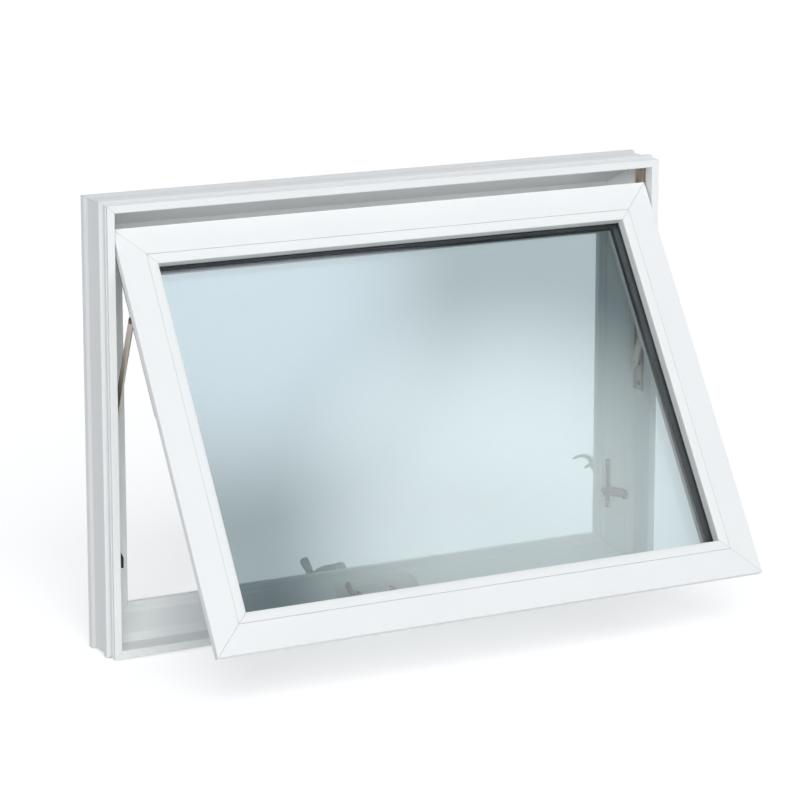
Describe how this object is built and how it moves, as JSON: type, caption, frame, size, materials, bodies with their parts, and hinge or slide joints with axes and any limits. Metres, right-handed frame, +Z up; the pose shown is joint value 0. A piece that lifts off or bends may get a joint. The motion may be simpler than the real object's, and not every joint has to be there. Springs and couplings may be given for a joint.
{
  "type": "awning window sash with crank",
  "caption": "Top-hung outward-opening window: a hollow white frame, a double-glazed sash on four-bar side hinges, a folding crank operator and a side lock.",
  "frame": {"origin": "middle of the flat face under the sill that the window stands on in its rough opening", "axes": "+X to the right seen from outside, along the sill; +Y from outside into the room; +Z up"},
  "size_m": [0.82, 0.4392, 0.596],
  "materials": {
    "white_pvc": "extruded rigid vinyl, low sheen",
    "glass": "clear float glass with a faint cool tint",
    "spacer": "mill finish, satin",
    "black_rubber": "matt extruded rubber",
    "stainless": "cold-rolled stainless strip",
    "zinc_steel": "zinc-plated pressed steel, dull",
    "lever_paint": "pale grey-green painted casting",
    "brass_screw": "yellow zinc",
    "acetal": "black moulded plastic"
  },
  "bodies": {
    "frame": {"frame_head": "white_pvc", "frame_sill": "white_pvc", "frame_jamb_left": "white_pvc", "frame_jamb_right": "white_pvc", "sash_guide": "acetal", "hinge_track_left": "stainless", "hinge_track_right": "stainless", "track_screw_left_1": "zinc_steel", "track_screw_left_2": "zinc_steel", "track_screw_right_1": "zinc_steel", "track_screw_right_2": "zinc_steel", "operator_housing": "zinc_steel", "operator_cover": "lever_paint", "lock_case": "zinc_steel", "lock_screw_1": "brass_screw", "lock_screw_2": "brass_screw", "lock_mount": "lever_paint"},
    "support_arm_left": {"support_arm_left": "stainless", "arm_rivet_left": "zinc_steel"},
    "support_arm_right": {"support_arm_right": "stainless", "arm_rivet_right": "zinc_steel"},
    "sash": {"sash_top_rail": "white_pvc", "sash_bottom_rail": "white_pvc", "sash_left_stile": "white_pvc", "sash_right_stile": "white_pvc", "glazing_bead_top": "white_pvc", "glazing_bead_bottom": "white_pvc", "glazing_bead_left": "white_pvc", "glazing_bead_right": "white_pvc", "outer_pane": "glass", "inner_pane": "glass", "glazing_spacer": "spacer", "outer_glazing_gasket": "black_rubber", "inner_glazing_gasket": "black_rubber", "setting_block_left": "acetal", "setting_block_right": "acetal", "sash_seal": "black_rubber", "sash_arm_left": "stainless", "sash_arm_right": "stainless", "sash_bracket": "zinc_steel", "lock_keeper": "zinc_steel"},
    "hinge_shoe_left": {"hinge_shoe_left": "acetal"},
    "hinge_shoe_right": {"hinge_shoe_right": "acetal"},
    "hub_gear_left": {"hub_gear_left": "zinc_steel"},
    "hub_gear_right": {"hub_gear_right": "zinc_steel"},
    "operator_cradle": {"operator_cradle": "zinc_steel"},
    "drive_arm_left": {"drive_arm_left": "zinc_steel", "elbow_rivet_left": "zinc_steel"},
    "drive_arm_right": {"drive_arm_right": "zinc_steel", "elbow_rivet_right": "zinc_steel"},
    "link_arm_left": {"link_arm_left": "zinc_steel"},
    "link_arm_right": {"link_arm_right": "zinc_steel"},
    "crank": {"worm_shaft": "zinc_steel", "crank_handle": "lever_paint", "crank_set_screw": "zinc_steel"},
    "knob": {"crank_knob": "lever_paint"},
    "lock_hook": {"lock_hook": "zinc_steel"},
    "lock_lever": {"lock_lever": "lever_paint"}
  },
  "joints": [
    {"name": "sash_swing", "type": "hinge", "parent": "support_arm_left", "child": "sash", "pos_m": [0, -0.06443, 0.45095], "axis": [-1, 0, 0], "range_deg": [-54.59, 7.5]},
    {"name": "support_arm_left_turn", "type": "hinge", "parent": "frame", "child": "support_arm_left", "pos_m": [-0.391, -0.00425, 0.3027], "axis": [1, 0, 0], "range_deg": [-22.14, 3.08]},
    {"name": "support_arm_right_turn", "type": "hinge", "parent": "frame", "child": "support_arm_right", "pos_m": [0.391, -0.00425, 0.3027], "axis": [1, 0, 0], "range_deg": [-22.14, 3.08]},
    {"name": "hinge_shoe_left_turn", "type": "hinge", "parent": "sash", "child": "hinge_shoe_left", "pos_m": [-0.3875, -0.00425, 0.54541], "axis": [1, 0, 0], "range_deg": [-32.55, 4.51]},
    {"name": "hinge_shoe_right_turn", "type": "hinge", "parent": "sash", "child": "hinge_shoe_right", "pos_m": [0.3875, -0.00425, 0.54541], "axis": [1, 0, 0], "range_deg": [-32.55, 4.51]},
    {"name": "operator_cradle_tilt", "type": "hinge", "parent": "frame", "child": "operator_cradle", "pos_m": [0, 0.00975, 0.0219], "axis": [-1, 0, 0], "range_deg": [-10.49, 1.48]},
    {"name": "drive_arm_left_turn", "type": "hinge", "parent": "operator_cradle", "child": "drive_arm_left", "pos_m": [-0.0155, 0.00975, 0.0219], "axis": [0, 0.1811, 0.9835], "range_deg": [-27.47, 3.82]},
    {"name": "drive_arm_right_turn", "type": "hinge", "parent": "operator_cradle", "child": "drive_arm_right", "pos_m": [0.0155, 0.00975, 0.0219], "axis": [0, 0.1811, 0.9835], "range_deg": [-3.82, 27.47]},
    {"name": "link_arm_left_turn", "type": "hinge", "parent": "drive_arm_left", "child": "link_arm_left", "pos_m": [-0.30515, -0.14576, 0.05054], "axis": [0, 0.1811, 0.9835], "range_deg": [-7.58, 54.88]},
    {"name": "link_arm_right_turn", "type": "hinge", "parent": "drive_arm_right", "child": "link_arm_right", "pos_m": [0.30515, -0.14576, 0.05054], "axis": [0, 0.1811, 0.9835], "range_deg": [-54.88, 7.58]},
    {"name": "hub_gear_left_turn", "type": "hinge", "parent": "frame", "child": "hub_gear_left", "pos_m": [-0.0155, 0.00975, 0.0115], "axis": [0, 0, 1], "range_deg": [-27.47, 3.82]},
    {"name": "hub_gear_right_turn", "type": "hinge", "parent": "frame", "child": "hub_gear_right", "pos_m": [0.0155, 0.00975, 0.0115], "axis": [0, 0, 1], "range_deg": [-3.82, 27.47]},
    {"name": "crank_turn", "type": "hinge", "parent": "frame", "child": "crank", "pos_m": [-0.0359, 0.06078, 0.04873], "axis": [0, 0.8192, 0.5736], "range_deg": [-768.14, 105.96]},
    {"name": "knob_spin", "type": "hinge", "parent": "crank", "child": "knob", "pos_m": [-0.0809, 0.06078, 0.04873], "axis": [0, 0.8192, 0.5736], "continuous": true},
    {"name": "lock_lever_turn", "type": "hinge", "parent": "frame", "child": "lock_lever", "pos_m": [0.3655, 0.05835, 0.146], "axis": [1, 0, 0], "range_deg": [0, 75]},
    {"name": "lock_hook_slide", "type": "slide", "parent": "frame", "child": "lock_hook", "axis": [0, 0, 1], "range_m": [0, 0.0141]}
  ],
  "couplings": [
    {"joint": "support_arm_left_turn", "follows": "sash_swing", "ratio": 0.40469},
    {"joint": "support_arm_right_turn", "follows": "sash_swing", "ratio": 0.40469},
    {"joint": "hinge_shoe_left_turn", "follows": "sash_swing", "ratio": 0.59532},
    {"joint": "hinge_shoe_right_turn", "follows": "sash_swing", "ratio": 0.59532},
    {"joint": "operator_cradle_tilt", "follows": "sash_swing", "ratio": 0.19116},
    {"joint": "drive_arm_left_turn", "follows": "sash_swing", "ratio": 0.50218},
    {"joint": "drive_arm_right_turn", "follows": "sash_swing", "ratio": -0.50218},
    {"joint": "link_arm_left_turn", "follows": "sash_swing", "ratio": -1.0044},
    {"joint": "link_arm_right_turn", "follows": "sash_swing", "ratio": 1.0044},
    {"joint": "hub_gear_left_turn", "follows": "sash_swing", "ratio": 0.50218},
    {"joint": "hub_gear_right_turn", "follows": "sash_swing", "ratio": -0.50218},
    {"joint": "crank_turn", "follows": "sash_swing", "ratio": 14.061},
    {"joint": "lock_hook_slide", "follows": "lock_lever_turn", "m_per_rad": 0.010695}
  ]
}
